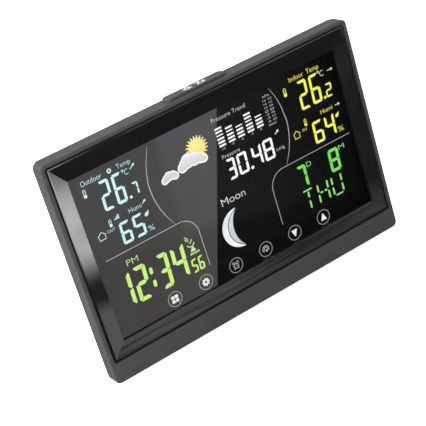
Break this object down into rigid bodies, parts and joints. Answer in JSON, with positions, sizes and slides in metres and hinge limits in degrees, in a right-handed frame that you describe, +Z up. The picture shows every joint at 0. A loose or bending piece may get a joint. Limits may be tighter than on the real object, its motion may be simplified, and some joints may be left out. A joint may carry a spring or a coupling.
{
  "type": "home weather station",
  "caption": "Landscape desktop weather display: slim casing with sloped window trim, segment display under a window with touch keys, top snooze bar and a fold-out rear leg.",
  "frame": {"origin": "middle of the footprint's box on the ground plane, under the middle of the casing's depth", "axes": "+X to the right as seen from the front, +Y from the display to the back, +Z up"},
  "size_m": [0.202, 0.025, 0.1355],
  "materials": {
    "casing_plastic": "fine-textured matte, charcoal",
    "trim_plastic": "piano-black gloss",
    "window_plastic": "clear hard-coated, slightly tinted",
    "foam": "closed-cell foam",
    "polariser_film": "smooth dark film",
    "display_glass": "polished",
    "printed_film": "printed translucent film",
    "diffuser_plastic": "milky translucent",
    "clear_acrylic": "clear acrylic with dotted back",
    "white_plastic": "white moulded",
    "board_green": "solder-masked glass fibre laminate",
    "board_white": "white solder-masked laminate",
    "led_white": "white LED packages",
    "ribbon": "amber polyimide ribbon",
    "copper": "tinned or bare copper",
    "chip_black": "moulded epoxy",
    "can_metal": "satin metal can",
    "ferrite": "sintered ferrite",
    "cell_jacket": "printed metal jacket, plain",
    "plated_steel": "nickel-plated",
    "wire_insulation": "soft PVC",
    "screw_steel": "black zinc",
    "foot_rubber": "matte rubber",
    "label_paper": "plain silver-grey sticker"
  },
  "bodies": {
    "casing": {"front_cover": "casing_plastic", "bezel_trim": "trim_plastic", "window_lens": "window_plastic", "window_mask": "printed_film", "lcd_gasket": "foam", "lcd_polarisers": "polariser_film", "lcd_front_glass": "display_glass", "lcd_rear_glass": "display_glass", "colour_film": "printed_film", "diffuser_sheet": "diffuser_plastic", "light_guide": "clear_acrylic", "reflector_sheet": "white_plastic", "backlight_led_boards": "board_white", "backlight_leds": "led_white", "lcd_tray": "white_plastic", "lcd_flex": "ribbon", "touch_board": "chip_black", "touch_electrodes": "chip_black", "touch_flex": "ribbon", "snooze_board": "board_green", "snooze_switch_body": "chip_black", "snooze_wires": "wire_insulation", "main_pcb": "board_green", "mcu_chips": "chip_black", "rf_module": "board_green", "rf_antenna": "copper", "pressure_sensor": "can_metal", "climate_sensor": "white_plastic", "buzzer": "chip_black", "capacitors": "can_metal", "crystals": "can_metal", "board_connectors": "white_plastic", "dc_jack_body": "chip_black", "dc_jack_pin": "plated_steel", "ferrite_rod": "ferrite", "antenna_coil": "copper", "rear_cover": "casing_plastic", "rating_label": "label_paper", "battery_cells": "cell_jacket", "battery_contacts": "plated_steel", "battery_springs": "plated_steel", "battery_wires": "wire_insulation", "rubber_feet": "foot_rubber", "case_screws": "screw_steel", "tray_screws": "screw_steel", "pcb_screws": "screw_steel"},
    "snooze_bar": {"snooze_bar": "casing_plastic"},
    "switch_plunger": {"snooze_switch_plunger": "white_plastic"},
    "battery_door": {"battery_door": "casing_plastic"},
    "stand": {"stand": "casing_plastic", "stand_foot_pad": "foot_rubber"}
  },
  "joints": [
    {"name": "snooze_press", "type": "slide", "parent": "casing", "child": "snooze_bar", "axis": [0, 0, -1], "range_m": [0, 0.0008]},
    {"name": "switch_press", "type": "slide", "parent": "casing", "child": "switch_plunger", "axis": [0, 0, -1], "range_m": [0, 0.00025]},
    {"name": "stand_hinge", "type": "hinge", "parent": "casing", "child": "stand", "pos_m": [0, 0.0107, 0.06], "axis": [1, 0, 0], "range_deg": [0, 30]},
    {"name": "battery_door_hinge", "type": "hinge", "parent": "casing", "child": "battery_door", "pos_m": [0, 0.0114, 0.0702], "axis": [-1, 0, 0], "range_deg": [0, 75]}
  ],
  "couplings": [
    {"joint": "switch_press", "follows": "snooze_press", "ratio": 0.3125}
  ]
}
